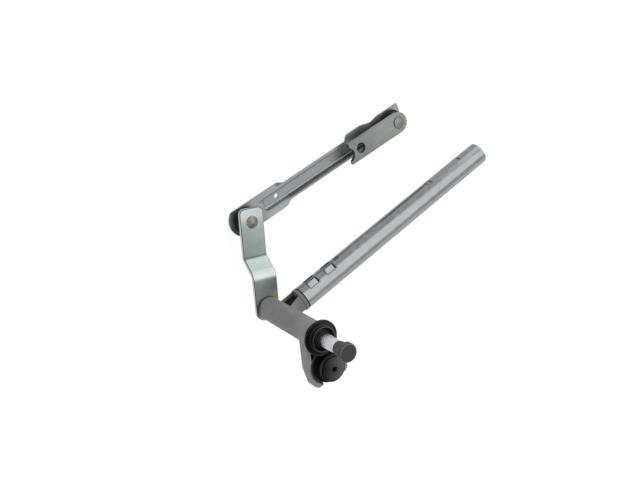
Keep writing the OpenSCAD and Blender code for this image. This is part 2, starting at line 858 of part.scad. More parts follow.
module motor_crank() {
    hollow_x = crank_len + motor_bore / 2 + tail_neck + tail_hollow_r;
    color("lightgray") translate(crank_joint) rotate([0, 0, crank_angle])
        translate([0, 0, crank_back]) linear_extrude(crank_t) difference() {
            union() {
                circle(d = crank_w);
                polygon([
                    [0, -crank_w / 2],
                    [crank_len + crank_tail - tail_slant, -crank_w / 2],
                    [crank_len + crank_tail + tail_slant, crank_w / 2],
                    [0, crank_w / 2]
                ]);
            }
            circle(r = shank_d / 2 + seat_fit);
            translate([crank_len, 0]) circle(d = motor_bore);
            translate([hollow_x, 0]) circle(r = tail_hollow_r);
        }
}

pivot_housing();
frame_tube();
front_bush();
rear_bush();
dust_cup();
spindle_seal();
rear_washer();
mounting_grommet();
spindle();
front_washer();
spring_washer();
retaining_clip();
crank_lever();
lever_ball_stud();
thread_cap();
link_rod();
lever_ball_socket();
lever_joint_boot();
crank_ball_socket();
crank_joint_boot();
motor_crank();
crank_ball_stud();
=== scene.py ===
import math

import bmesh
import bpy
from mathutils import Matrix, Vector


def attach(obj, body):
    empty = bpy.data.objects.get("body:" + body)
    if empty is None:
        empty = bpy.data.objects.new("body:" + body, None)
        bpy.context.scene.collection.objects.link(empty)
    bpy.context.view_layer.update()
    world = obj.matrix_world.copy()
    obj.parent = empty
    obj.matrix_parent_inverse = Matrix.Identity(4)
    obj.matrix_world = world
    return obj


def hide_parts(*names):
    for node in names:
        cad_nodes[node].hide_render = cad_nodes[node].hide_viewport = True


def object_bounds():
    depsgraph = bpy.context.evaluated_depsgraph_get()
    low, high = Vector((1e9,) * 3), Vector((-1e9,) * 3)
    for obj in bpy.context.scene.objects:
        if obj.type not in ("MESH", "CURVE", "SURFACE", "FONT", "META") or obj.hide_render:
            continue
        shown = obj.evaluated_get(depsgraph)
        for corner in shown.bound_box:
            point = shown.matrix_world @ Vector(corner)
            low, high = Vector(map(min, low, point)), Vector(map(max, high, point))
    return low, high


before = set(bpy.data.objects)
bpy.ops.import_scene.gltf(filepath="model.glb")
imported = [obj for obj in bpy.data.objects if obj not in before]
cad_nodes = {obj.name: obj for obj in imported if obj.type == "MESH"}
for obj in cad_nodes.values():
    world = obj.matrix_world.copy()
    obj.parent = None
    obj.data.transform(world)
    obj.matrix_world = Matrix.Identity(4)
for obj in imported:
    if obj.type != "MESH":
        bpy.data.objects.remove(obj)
cad_low, cad_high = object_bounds()

MM = 0.001

# ---- Places and sizes of the object ----

SPINDLE_AXIS = (0, 0)
LEVER_JOINT = (33.512, 71.540)
CRANK_JOINT = (218.804, 60.856)
LEVER_TURN = math.radians(64.9)
LINK_TURN = math.radians(-3.3)
CRANK_TURN = math.radians(176.4)

LINK_FACE = -130.04
SHEET = 1.8
GROOVE_FLOOR = LINK_FACE - 5.5

TAPER_R = 6.0
TAPER_TIP_R = 5.2
TAPER_LEN = 19.2
THREAD_R = 4.0
GROMMET = (-5.02, -31.0, -14.0)

TUBE_R = 11.0
TUBE_Z = -74.0
TAB_MIDDLE = 49.8
TAB_STEP = 10.3
TAB_HALF_LEN = 5.3
TAB_HALF_WIDTH = 3.2
TAB_TURN = math.radians(6)
TAB_SIDE = math.radians(64)

# Rounded edges of the pieces: width and steps
CAST_EDGE = 0.7, 3
TUBE_EDGE = 0.3, 2
CUP_EDGE = 0.35, 2
GROMMET_EDGE = 0.4, 3
SPINDLE_EDGE = 0.25, 2
LEVER_EDGE = 0.6, 3
STUD_EDGE = 0.3, 2
CAP_END_EDGE = 0.5, 3
LINK_EDGE = 0.7, 2
LIP_EDGE = 0.4, 2
CRANK_EDGE = 0.5, 3

# ---- Modelling by hand ----

MERGE = 0.002 * MM
NEAR = 0.05 * MM
FLAT_ANGLE = math.radians(0.6)
EDGE_ANGLE = math.radians(32)
SMOOTH_ANGLE = math.radians(34)
QUARTER = math.pi / 2


def direction(turn):
    """The way that a plate runs, seen along the spindle."""
    return Vector((math.cos(turn), math.sin(turn)))


def deselect():
    bpy.ops.object.select_all(action="DESELECT")


def only(piece):
    """Leaves one piece selected and active."""
    deselect()
    piece.select_set(True)
    bpy.context.view_layer.objects.active = piece


def edit(piece, kind="VERT"):
    """Opens a piece in edit mode with all of it selected."""
    only(piece)
    bpy.ops.object.mode_set(mode="EDIT")
    bpy.ops.mesh.select_mode(type=kind)
    bpy.ops.mesh.select_all(action="SELECT")


def done():
    """Goes back to object mode."""
    bpy.ops.object.mode_set(mode="OBJECT")


def done_outwards():
    """Turns all faces of the piece in edit mode outwards and goes back to object mode."""
    bpy.ops.mesh.select_all(action="SELECT")
    bpy.ops.mesh.normals_make_consistent(inside=False)
    done()


def pick(piece, kind, test):
    """Selects the vertices or edges of a piece in edit mode that pass a test."""
    bpy.ops.mesh.select_mode(type=kind)
    bpy.ops.mesh.select_all(action="DESELECT")
    mesh = bmesh.from_edit_mesh(piece.data)
    for element in mesh.verts if kind == "VERT" else mesh.edges:
        element.select = bool(test(element))
    mesh.select_flush_mode()
    bmesh.update_edit_mesh(piece.data)


def widen(ratio, centre, height):
    """Scales what is selected about an upright axis."""
    bpy.ops.transform.resize(value=(ratio, ratio, 1),
                             center_override=(centre[0] * MM, centre[1] * MM, height * MM))


def finish_with(piece, kind, **settings):
    """Adds one modifier to a piece and applies it."""
    only(piece)
    modifier = piece.modifiers.new(kind.lower(), kind)
    for name, value in settings.items():
        setattr(modifier, name, value)
    bpy.ops.object.modifier_apply(modifier=modifier.name)


def smooth(piece):
    only(piece)
    bpy.ops.object.shade_smooth_by_angle(angle=SMOOTH_ANGLE)
    return piece


def coat(piece, *finishes):
    """Gives a piece its finish, and a second one for its rounded edges."""
    piece.data.materials.clear()
    for finish in finishes:
        piece.data.materials.append(finish.material)
    return piece


def cad_copy(node, name):
    """A new piece with the shape of a CAD node, its triangles joined to faces."""
    piece = bpy.data.objects.new(name, cad_nodes[node].data.copy())
    bpy.context.scene.collection.objects.link(piece)
    edit(piece)
    bpy.ops.mesh.customdata_custom_splitnormals_clear()
    bpy.ops.mesh.remove_doubles(threshold=MERGE)
    bpy.ops.mesh.dissolve_limited(angle_limit=FLAT_ANGLE)
    done()
    return piece


def ease(piece, width, steps):
    """Rounds the sharp edges of a piece in its last finish and keeps its flat faces flat."""
    finish_with(piece, "BEVEL", width=width * MM, segments=steps, limit_method="ANGLE",
                angle_limit=EDGE_ANGLE, use_clamp_overlap=True, miter_outer="MITER_SHARP",
                material=len(piece.data.materials) - 1)
    smooth(piece)
    finish_with(piece, "WEIGHTED_NORMAL", keep_sharp=True)
    return piece


def softened(node, name, edge, *finishes):
    """A copy of a CAD node with its sharp edges rounded."""
    return ease(coat(cad_copy(node, name), *finishes), *edge)


def new_piece(name):
    """Names the primitive that was just added, puts its place in its mesh and returns it."""
    piece = bpy.context.active_object
    piece.name = name
    piece.data.name = name
    bpy.ops.object.transform_apply(location=True, rotation=True, scale=True)
    return piece


def joined(piece, *others):
    """One piece made of several."""
    only(piece)
    for other in others:
        other.select_set(True)
    bpy.ops.object.join()
    return piece


def lathe(name, centre, profile, sides):
    """A turned piece: a ring is added and drawn along a closed profile of radius and height."""
    r, z = profile[0]
    deselect()
    bpy.ops.mesh.primitive_circle_add(vertices=sides, radius=r * MM, fill_type="NOTHING",
                                      location=(centre[0] * MM, centre[1] * MM, z * MM))
    piece = new_piece(name)
    edit(piece, "EDGE")
    for next_r, next_z in profile[1:] + profile[:1]:
        bpy.ops.mesh.extrude_edges_move(
            TRANSFORM_OT_translate={"value": (0, 0, (next_z - z) * MM)})
        widen(next_r / r, centre, next_z)
        r, z = next_r, next_z
    bpy.ops.mesh.select_all(action="SELECT")
    bpy.ops.mesh.remove_doubles(threshold=MERGE)
    done_outwards()
    return piece


def dress(piece, body, slot, *replaced):
    """Gives a piece its body and hides the nodes that it stands for. The slot is not used."""
    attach(piece, body)
    if replaced:
        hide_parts(*replaced)


def stand_in(node, name, body, slot, edge, *finishes):
    """Dresses a copy of a CAD node with rounded edges, which takes the node's place."""
    dress(softened(node, name, edge, *finishes), body, slot, node)


# ---- Shader maths ----

RAGGED_SCALE = 420
RAGGED_DEPTH = 2.4


class Value:
    """A number or colour that changes over a surface; sums are written with Python's signs."""

    def __init__(self, finish, socket):
        self.finish = finish
        self.socket = socket

    def __add__(self, other):
        return self.finish.maths("ADD", self, other)

    def __radd__(self, other):
        return self.finish.maths("ADD", other, self)

    def __sub__(self, other):
        return self.finish.maths("SUBTRACT", self, other)

    def __rsub__(self, other):
        return self.finish.maths("SUBTRACT", other, self)

    def __mul__(self, other):
        return self.finish.maths("MULTIPLY", self, other)

    def __rmul__(self, other):
        return self.finish.maths("MULTIPLY", other, self)

    def __abs__(self):
        return self.finish.maths("ABSOLUTE", self, 0.0)


class Finish:
    """The node tree of a material or of the world."""

    def __init__(self, owner):
        self.material = owner
        owner.use_nodes = True
        self.tree = owner.node_tree
        self.tree.nodes.clear()

    def node(self, kind, settings, sockets, output=0):
        """Adds a node: its settings first, then the values or links of its sockets."""
        made = self.tree.nodes.new(kind)
        for name, value in settings.items():
            setattr(made, name, value)
        for name, value in sockets.items():
            if isinstance(value, Value):
                self.tree.links.new(value.socket, made.inputs[name])
            else:
                made.inputs[name].default_value = value
        return Value(self, made.outputs[output]) if made.outputs else None

    def maths(self, operation, first, second):
        return self.node("ShaderNodeMath", {"operation": operation}, {0: first, 1: second})

    def here(self):
        """The place on the piece."""
        return self.node("ShaderNodeTexCoord", {}, {}, "Object")

    def place(self, stretch=(1, 1, 1), turn=(0, 0, 0)):
        """The place on the piece, turned and stretched."""
        return self.node("ShaderNodeMapping", {},
                         {"Vector": self.here(), "Rotation": turn, "Scale": stretch})

    def axis(self, where, name):
        """How far a place lies along an axis."""
        return self.node("ShaderNodeSeparateXYZ", {}, {"Vector": where}, name)

    def noise(self, where, scale, detail=3.0, roughness=0.55):
        return self.node("ShaderNodeTexNoise", {},
                         {"Vector": where, "Scale": scale, "Detail": detail,
                          "Roughness": roughness})

    def spread(self, value, low, high, to_low=0.0, to_high=1.0):
        """Stretches the part of a value between two limits to a new range."""
        return self.node("ShaderNodeMapRange", {"clamp": True},
                         {"Value": value, "From Min": low, "From Max": high,
                          "To Min": to_low, "To Max": to_high})

    def ramp(self, length, low, high, to_low=0.0, to_high=1.0):
        """The same for a length, with its limits in millimetres."""
        return self.spread(length, low * MM, high * MM, to_low, to_high)

    def span(self, length, low, high, soft):
        """One where a length lies between two limits, fading to nothing over a soft edge."""
        return self.ramp(length, low - soft, low) * self.ramp(length, high, high + soft, 1.0, 0.0)

    def band(self, name, low, high, soft):
        """One where the place on the piece lies between two limits on an axis."""
        return self.span(self.axis(self.here(), name), low, high, soft)

    def ball(self, centre, radius, soft):
        """One inside a ball with a ragged skin, fading to nothing at its edge."""
        where = self.here()
        middle = tuple(value * MM for value in centre)
        away = self.node("ShaderNodeVectorMath", {"operation": "DISTANCE"},
                         {0: where, 1: middle}, "Value")
        ragged = (self.noise(where, RAGGED_SCALE, 2.0) - 0.5) * (RAGGED_DEPTH * MM)
        return self.ramp(away + ragged, radius - soft, radius, 1.0, 0.0)

    def mix(self, share, first, second):
        return self.node("ShaderNodeMix", {"data_type": "RGBA"},
                         {0: share, 6: first, 7: second}, 2)

    def bump(self, height, strength, depth):
        return self.node("ShaderNodeBump", {},
                         {"Strength": strength, "Distance": depth * MM, "Height": height})

    def surface(self, **sockets):
        shader = self.node("ShaderNodeBsdfPrincipled", {},
                           {name.replace("_", " "): value for name, value in sockets.items()})
        self.node("ShaderNodeOutputMaterial", {}, {"Surface": shader})
        return self


def finish_named(name):
    return Finish(bpy.data.materials.new(name))


def grey(level, warm=0.0):
    """A nearly neutral colour, warmer or colder by a share."""
    return (level * (1 + warm), level, level * (1 - warm), 1)


# ---- Finishes ----

# Parts of a noise that a finish is spread over
WIDE = (0.3, 0.7)
MIDDLE = (0.35, 0.65)

# Near black, for painted shade in pockets, gaps and seams
SHADE_DARK = grey(0.012)
PAINT = (0.36, 0.33, 0.03, 1)

# Balls of painted shade and of paint: centre, radius and soft edge
PAINT_DAB = (11.8, 3.6, -97.8), 4.2, 2.0
# Painted shade in the fork pocket, round the grommet seat and at the rear edge of the barrel
FORK_POCKET = (-12.6, -14.6, -18.4), 4.2, 1.0
GROMMET_SEAT = GROMMET, 17.6, 1.2
REAR_SHADE = (-9.5, 8.0, -98.5), 6.0, 1.5
REAR_SHADE_SHARE = 0.5

# Bands on the casting: low, high and soft edge on an axis, for painted shade and painted light
# Painted shade on the stub, in its pocket, in the gap at the spigot and along the rear edge
STUB_X = (15, 24, 3)
STUB_SHADE_TONE = grey(0.1)
STUB_SHADE_SHARE = 0.4
STUB_POCKET = {"X": (8, 22.4, 1), "Y": (1, 3, 2.5), "Z": (-84, -69, 1)}
SPIGOT_X = (24.3, 80, 0.2)
REAR_EDGE_Z = (-100, -97, 0.6)
# Painted light on the front of the barrel
FRONT_Z = (-24, 0, 14)
FRONT_LIGHT_TONE = grey(0.33)
FRONT_LIGHT_SHARE = 0.5


def cast_alloy():
    """Die-cast alloy: matt, faintly mottled, with fine pits, painted shade in pockets, gaps and
    seams, and painted light on the front of the barrel.
    """
    finish = finish_named("cast_alloy")
    where = finish.place()
    mottle = finish.noise(where, 130, 4.0)
    pits = finish.noise(where, 1500, 3.0, 0.6)
    colour = finish.mix(finish.spread(mottle, *WIDE), grey(0.2, 0.005), grey(0.245, 0.005))
    # Painted shade on the stub
    colour = finish.mix(finish.band("X", *STUB_X) * STUB_SHADE_SHARE, colour, STUB_SHADE_TONE)
    # Painted light on the front of the barrel
    colour = finish.mix(finish.band("Z", *FRONT_Z) * FRONT_LIGHT_SHARE, colour, FRONT_LIGHT_TONE)
    # Painted shade in the stub pocket, the gap at the spigot, along the rear edge, in the fork
    # pocket and round the grommet seat
    sides = [finish.band(name, *limits) for name, limits in STUB_POCKET.items()]
    shaded_places = sides[0] * sides[1] * sides[2]
    shaded_places = shaded_places + finish.band("X", *SPIGOT_X) + finish.band("Z", *REAR_EDGE_Z)
    shaded_places = shaded_places + finish.ball(*FORK_POCKET) + finish.ball(*GROMMET_SEAT)
    shaded_places = shaded_places + finish.ball(*REAR_SHADE) * REAR_SHADE_SHARE
    colour = finish.mix(finish.spread(shaded_places, 0, 1), colour, SHADE_DARK)
    colour = finish.mix(finish.ball(*PAINT_DAB), colour, PAINT)
    return finish.surface(
        Base_Color=colour,
        Metallic=0.2,
        Roughness=finish.spread(mottle, *WIDE, 0.6, 0.72),
        Normal=finish.bump(pits + mottle * 0.6, 0.3, 0.1))


# Marks on the lever, along it from the spindle or across it
LEVER_FLAT = (48, 79, 5)
LEVER_SHADE = (-10, 9, 0.05, 0.45)
SHADED_ZINC = (0.08, 0.096, 0.091, 1)
# Lighter near the hub and along the side, and a painted highlight at the bend
HUB_LIGHTER = (12, 19, 0.5, 0.0)
BEND_HIGHLIGHT = (30, 34.5, 2)
BEND_HIGHLIGHT_SHARE = 0.6
SIDE_LIGHTER = (11.5, 11.75, 0.0, 0.9)
LIGHTER_ZINC = (0.5, 0.55, 0.535, 1)
# Painted light towards the stud end
STUD_END_LIGHT = (74, 86, 0.0, 0.5)
LIT_ZINC = (0.34, 0.385, 0.372, 1)
# Painted shade in the crease
CREASE = (45.6, 46.6, 1.0)
CREASE_Z = (-116.3, -113, 0.4)
CREASE_SHADE_TONE = grey(0.06)
CREASE_SHADE_SHARE = 0.8


def lever_marks(finish, run, side, colour):
    """Painted shade towards one edge, lighter near the hub and side, a painted highlight at the
    bend, painted light at the stud end, painted shade in the crease and a dab of paint.
    """
    shade = finish.ramp(side, *LEVER_SHADE) * finish.span(run, *LEVER_FLAT)
    colour = finish.mix(shade, colour, SHADED_ZINC)
    # Lighter near the hub and the side, with a painted highlight at the bend
    brightened = finish.ramp(run, *HUB_LIGHTER) + finish.span(run, *BEND_HIGHLIGHT) * BEND_HIGHLIGHT_SHARE
    brightened = brightened + finish.ramp(side, *SIDE_LIGHTER)
    colour = finish.mix(finish.spread(brightened, 0, 1), colour, LIGHTER_ZINC)
    # Painted light towards the stud end
    colour = finish.mix(finish.ramp(run, *STUD_END_LIGHT), colour, LIT_ZINC)
    # Painted shade in the crease
    crease = finish.span(run, *CREASE) * finish.band("Z", *CREASE_Z)
    colour = finish.mix(crease * CREASE_SHADE_SHARE, colour, CREASE_SHADE_TONE)
    return finish.mix(finish.ball(*PAINT_DAB), colour, PAINT)


CRANK_TAIL = (20, 45, 0.0, 0.4)
DARKER_ZINC = (0.1, 0.112, 0.105, 1)


def crank_marks(finish, run, side, colour):
    """Darker towards the tail."""
    return finish.mix(finish.ramp(run, *CRANK_TAIL), colour, DARKER_ZINC)


# Strips on the link: low, high and soft edge along it, then across it
# Painted shade along the edges of the groove on the front face
UPPER_RIM = (24, 130, 6), (5.3, 7.0, 0.5)
SHOULDER_RIM = (43.5, 50, 2), (10.4, 14, 0.8)
LOWER_RIM = (52, 130, 6), (-7.4, -6.0, 0.4)
# Painted light on the lower flange near the lever
LIT_FLANGE = (26, 50, 8), (-14, -8.4, 1.0)
UPPER_SHARE = 0.75
LOWER_SHARE = 0.9
LIT_FLANGE_SHARE = 0.2
RIM_SHADE_TONE = (0.07, 0.08, 0.08, 1)
FRONT_FACE_Z = (-130.5, -129, 0.4)
# Painted light on the wall of the groove near the lever
WALL_Z = (-134.6, -130.9, 0.3)
WALL_RUN = (22, 46, 6)
LIT_WALL_SHARE = 0.6
LIT_LINK_ZINC = (0.5, 0.53, 0.54, 1)
# Grime, and painted shade under the crank and in its hole
GRIME_AND_SHADE_TONE = (0.05, 0.052, 0.046, 1)
GRIME_AND_SHADE = (
    (((162.5, 63.0, -134.0), 9.0, 2.0), 0.35),
    (((177.5, 57.0, -133.0), 9.0, 2.0), 0.5),
)


def link_marks(finish, run, side, colour):
    """Painted shade along the edges of the groove, painted light near the lever, and grime with
    painted shade behind the motor bore.
    """

    def strip(along, across):
        return finish.span(side, *across) * finish.span(run, *along)

    # Painted shade along the edges of the groove
    upper = strip(*UPPER_RIM) + strip(*SHOULDER_RIM)
    rim_shade = upper * UPPER_SHARE + strip(*LOWER_RIM) * LOWER_SHARE
    # Painted light on the wall of the groove and the lower flange near the lever
    lit_walls = finish.band("Z", *WALL_Z) * finish.span(run, *WALL_RUN)
    brightened = lit_walls * LIT_WALL_SHARE + strip(*LIT_FLANGE) * LIT_FLANGE_SHARE
    colour = finish.mix(brightened, colour, LIT_LINK_ZINC)
    colour = finish.mix(rim_shade * finish.band("Z", *FRONT_FACE_Z), colour, RIM_SHADE_TONE)
    # Grime and painted shade under the crank
    for ball, share in GRIME_AND_SHADE:
        colour = finish.mix(finish.ball(*ball) * share, colour, GRIME_AND_SHADE_TONE)
    return colour


def no_marks(finish, run, side, colour):
    return colour


def even(roughness):
    """The same roughness all along a plate."""
    return 0, 1, roughness, roughness


def plated_steel(name, dark, light, joint, turn, gloss, marks):
    """Zinc on steel: cloudy patches, fine streaks along the rolling direction and small specks.

    The roughness may change between two distances from the joint along the plate, and the plate
    has marks of its own."""
    finish = finish_named(name)
    where = finish.place()
    rolled = (0, 0, -turn)
    start = direction(turn).dot(Vector(joint)) * MM
    middle = direction(turn + QUARTER).dot(Vector(joint)) * MM
    run = finish.axis(finish.place(turn=rolled), "X") - start
    side = finish.axis(finish.place(turn=rolled), "Y") - middle
    cloud = finish.noise(where, 70, 4.0)
    streak = finish.noise(finish.place((0.06, 1, 1), rolled), 900, 2.0)
    speck = finish.noise(where, 620, 2.0, 0.7)
    colour = finish.mix(finish.spread(cloud * 0.62 + streak * 0.38, *WIDE), dark, light)
    colour = finish.mix(finish.spread(speck, 0.68, 0.76, 0.0, 0.2), colour, grey(0.1))
    uneven = finish.spread(cloud * 0.5 + streak * 0.5, *MIDDLE, -0.03, 0.05)
    return finish.surface(
        Base_Color=marks(finish, run, side, colour),
        Metallic=0.95,
        Roughness=finish.ramp(run, *gloss) + uneven,
        Normal=finish.bump(streak * 0.5 + cloud + speck * 0.4, 0.06, 0.08))


# Painted shade along the outlines of the tabs and in the gap at the collar
TAB_LINE = 0.25
TAB_LINE_FADE = (0.35, 0.85, 1.0, 0.0)
TAB_SHADE_SHARE = 0.7
TAB_SHADE_TONE = grey(0.07)
COLLAR_X = (20, 25.2, 0.3)


def tab_outline(finish):
    """One along the edges of the pressed tabs, which come in four rows round the tube."""
    where = finish.here()
    along, across, up = [finish.axis(where, name) for name in "XYZ"]
    turn = finish.maths("ARCTAN2", up - TUBE_Z * MM, across) - TAB_TURN
    beside = abs(abs(abs(turn) - QUARTER) - TAB_SIDE) * (TUBE_R * MM) - TAB_HALF_WIDTH * MM
    before = abs(abs(along - TAB_MIDDLE * MM) - TAB_STEP * MM) - TAB_HALF_LEN * MM
    outside = finish.maths("MAXIMUM", beside, before)
    return finish.ramp(abs(outside - TAB_LINE * MM), *TAB_LINE_FADE)


def galvanised():
    """Hot-dip zinc on the tube: frosted grains and drawn streaks, with painted shade along the
    tabs and in the gap at the collar.
    """
    finish = finish_named("galvanised_tube")
    cells = finish.node("ShaderNodeTexVoronoi", {"feature": "F1"},
                        {"Vector": finish.place(), "Scale": 330}, "Color")
    grain = finish.node("ShaderNodeSeparateColor", {}, {"Color": cells}, "Red")
    streak = finish.noise(finish.place((0.05, 1, 1)), 700, 3.0)
    cloud = finish.noise(finish.place((0.35, 1, 1)), 60, 4.0)
    tone = finish.spread(grain * 0.22 + streak * 0.38 + cloud * 0.4, 0.3, 0.68)
    colour = finish.mix(tone, (0.198, 0.215, 0.222, 1), (0.24, 0.26, 0.265, 1))
    # Painted shade along the tab outlines and at the collar gap
    colour = finish.mix(tab_outline(finish) * TAB_SHADE_SHARE, colour, TAB_SHADE_TONE)
    colour = finish.mix(finish.band("X", *COLLAR_X), colour, SHADE_DARK)
    return finish.surface(
        Base_Color=colour,
        Metallic=0.95,
        Roughness=finish.spread(grain * 0.4 + cloud * 0.6, *WIDE, 0.18, 0.25),
        Normal=finish.bump(grain * 0.3 + cloud, 0.06, 0.1))


def bright_steel():
    """Turned steel with fine rings around the spindle."""
    finish = finish_named("bright_steel")
    rings = finish.noise(finish.place((0.15, 0.15, 1)), 1500, 2.0)
    cloud = finish.noise(finish.place(), 300, 3.0)
    return finish.surface(
        Base_Color=finish.mix(finish.spread(cloud, *MIDDLE),
                              (0.5, 0.515, 0.55, 1), (0.67, 0.685, 0.72, 1)),
        Metallic=0.95,
        Roughness=finish.spread(rings, *WIDE, 0.2, 0.34),
        Normal=finish.bump(rings, 0.1, 0.05))


STUD_TINT = Vector((1.0, 0.97, 0.76))
STUD_SHARES = (0.8, 1.2)


def warm_stud(name, tone):
    """Yellow-tinted zinc on the riveted studs, dimpled by the riveting tool."""
    finish = finish_named(name)
    dimple = finish.noise(finish.place(), 520, 2.0)
    dark, light = [(*(STUD_TINT * tone * share), 1) for share in STUD_SHARES]
    return finish.surface(
        Base_Color=finish.mix(finish.spread(dimple, *MIDDLE), dark, light),
        Metallic=0.85,
        Roughness=finish.spread(dimple, *WIDE, 0.34, 0.46),
        Normal=finish.bump(dimple, 0.4, 0.25))


def plain_steel():
    """Clean spring steel, a little cloudy."""
    finish = finish_named("spring_steel")
    cloud = finish.noise(finish.place(), 400, 3.0)
    return finish.surface(
        Base_Color=finish.mix(cloud, grey(0.2), grey(0.34)),
        Metallic=0.95,
        Roughness=finish.spread(cloud, *WIDE, 0.3, 0.42))


def sintered_bronze():
    """Bronze pressed from powder, with open pores."""
    finish = finish_named("bush_bronze")
    pores = finish.noise(finish.place(), 1800, 3.0, 0.7)
    return finish.surface(
        Base_Color=finish.mix(finish.spread(pores, *WIDE),
                              (0.2, 0.12, 0.045, 1), (0.42, 0.27, 0.11, 1)),
        Metallic=0.9,
        Roughness=finish.spread(pores, *WIDE, 0.35, 0.5),
        Normal=finish.bump(pores, 0.2, 0.05))


# Way towards the side that gets painted light on rubber
LIT_WAY = Vector((0.87, -0.5))
BAND_SOFT = 0.15
BAND_SHARE = 0.9


def rubber(name, dark, light, roughness, shine=0.3, bands=(), lit_side=None):
    """Moulded rubber with a powdery bloom and a fine grain.

    Bands of heights may have other tones, and one side of a centre may get painted light."""
    finish = finish_named(name)
    where = finish.place()
    bloom = finish.noise(where, 160, 4.0)
    grain = finish.noise(where, 2200, 2.0)
    colour = finish.mix(finish.spread(bloom, 0.35, 0.7), grey(dark), grey(light))
    # Painted light: one side lighter than the other
    if lit_side:
        centre, light_start, light_full, tone = lit_side
        way = finish.axis(where, "X") * LIT_WAY.x + finish.axis(where, "Y") * LIT_WAY.y
        way = way - LIT_WAY.dot(Vector(centre)) * MM
        colour = finish.mix(finish.ramp(way, light_start, light_full), colour, grey(tone))
    for low, high, tone in bands:
        share = finish.band("Z", low, high, BAND_SOFT) * BAND_SHARE
        colour = finish.mix(share, colour, grey(tone))
    return finish.surface(
        Base_Color=colour,
        Roughness=finish.spread(bloom, *WIDE, roughness - 0.06, roughness + 0.08),
        Specular_IOR_Level=shine,
        Normal=finish.bump(grain + bloom * 0.5, 0.15, 0.06))


# Heights with a tone of their own, and on the cap painted shade: low, high and tone
GROMMET_BANDS = (-40, -8.2, 0.001), (-8, -5.2, 0.06), (-4.9, -4.38, 0.002)
# Painted shade on the end face of the cap
CAP_END_SHADE = ((33.9, 40, 0.032),)

# Painted light on one side: centre, where it starts, where it is full, and tone
CUP_LIT_SIDE = SPINDLE_AXIS, -16, 9, 0.04
RIM_LIT_SIDE = SPINDLE_AXIS, -13, -2, 0.115
GROMMET_LIT_SIDE = GROMMET[:2], -9, 11, 0.125

ALLOY = cast_alloy()
TUBE_ZINC = galvanised()
LEVER_ZINC = plated_steel(
    "zinc_plate_lever", dark=(0.215, 0.25, 0.24, 1), light=(0.265, 0.305, 0.293, 1),
    joint=SPINDLE_AXIS, turn=LEVER_TURN, gloss=(26, 60, 0.42, 0.15), marks=lever_marks)
CRANK_ZINC = plated_steel(
    "zinc_plate_crank", dark=(0.18, 0.2, 0.186, 1), light=(0.232, 0.256, 0.24, 1),
    joint=CRANK_JOINT, turn=CRANK_TURN, gloss=even(0.28), marks=crank_marks)
LINK_ZINC = plated_steel(
    "link_steel", dark=(0.2, 0.216, 0.22, 1), light=(0.25, 0.27, 0.275, 1),
    joint=LEVER_JOINT, turn=LINK_TURN, gloss=even(0.4), marks=link_marks)
BRIGHT = bright_steel()
# Dark rounded edges: sheared steel, and painted shade along rim edges and outlines
SHEARED_AND_SHADED = plated_steel(
    "sheared_and_shaded_edge", dark=(0.05, 0.056, 0.055, 1), light=(0.09, 0.1, 0.098, 1),
    joint=SPINDLE_AXIS, turn=0.0, gloss=even(0.4), marks=no_marks)
STUD = warm_stud("stud_steel", tone=0.19)
# Dark rounded rim of the studs: painted shade at the contact gap
STUD_RIM_SHADE = warm_stud("stud_rim_shade", tone=0.07)
SPRING = plain_steel()
BRONZE = sintered_bronze()
BLACK_RUBBER = rubber("black_rubber", dark=0.007, light=0.013, roughness=0.5, shine=0.14)
CUP_RUBBER = rubber("cup_rubber", dark=0.001, light=0.002, roughness=0.5, shine=0.015,
                    lit_side=CUP_LIT_SIDE)
# Lighter rubber on the cup's rounded edges: painted highlight on the rim edges
RIM_HIGHLIGHT_RUBBER = rubber("rim_highlight_rubber", dark=0.018, light=0.04, roughness=0.55, shine=0.2,
                     lit_side=RIM_LIT_SIDE)
GROMMET_RUBBER = rubber("grey_rubber", dark=0.009, light=0.017, roughness=0.6, shine=0.06,
                        bands=GROMMET_BANDS, lit_side=GROMMET_LIT_SIDE)
# The darker end face of the cap is painted shade
CAP_RUBBER = rubber("cap_rubber", dark=0.047, light=0.09, roughness=0.6, bands=CAP_END_SHADE)
# Lighter rubber on the cap's rounded edges: painted highlight
CAP_EDGE_HIGHLIGHT = rubber("cap_edge_highlight", dark=0.09, light=0.19, roughness=0.5)
PLASTIC = rubber("black_plastic", dark=0.014, light=0.022, roughness=0.42)

# ---- Pieces of the frame ----

stand_in("pivot_housing", "housing_casting", "frame", "cast_alloy", CAST_EDGE, ALLOY)
stand_in("frame_tube", "crimped_tube", "frame", "galvanised_tube", TUBE_EDGE, TUBE_ZINC, SHEARED_AND_SHADED)
stand_in("dust_cup", "rubber_dust_cup", "frame", "black_rubber", CUP_EDGE, CUP_RUBBER, RIM_HIGHLIGHT_RUBBER)
stand_in("mounting_grommet", "stepped_grommet", "frame", "grey_rubber", GROMMET_EDGE,
         GROMMET_RUBBER)

# ---- Pieces of the spindle and the lever ----

SHOULDER_ROUND = 0.4
THREAD_CORE_R = 3.3
THREAD_ROOT_R = 3.1
THREAD_CREST_R = THREAD_R - 0.03
THREAD_FOOT = TAPER_LEN + 0.1
THREAD_PITCH = 1.25
THREAD_TURNS = 6
THREAD_STEPS = 40
RIDGE_WIDTH = 0.95 * THREAD_PITCH

KNURL_TEETH = 40
KNURL_START = 1.4
KNURL_END = 18.4
KNURL_LEAD = 0.5
KNURL_ROOT = -0.3
KNURL_CREST = 0.2


def spindle_with_core():
    """The spindle, with its threaded end drawn in to the core of the thread."""
    piece = softened("spindle", "turned_spindle", SPINDLE_EDGE, BRIGHT)
    edit(piece)
    pick(piece, "VERT", lambda vertex: vertex.co.z > (TAPER_LEN - SHOULDER_ROUND) * MM
         and vertex.co.xy.length < (THREAD_R + SHOULDER_ROUND) * MM)
    widen(THREAD_CORE_R / THREAD_R, SPINDLE_AXIS, 0)
    done()
    return piece


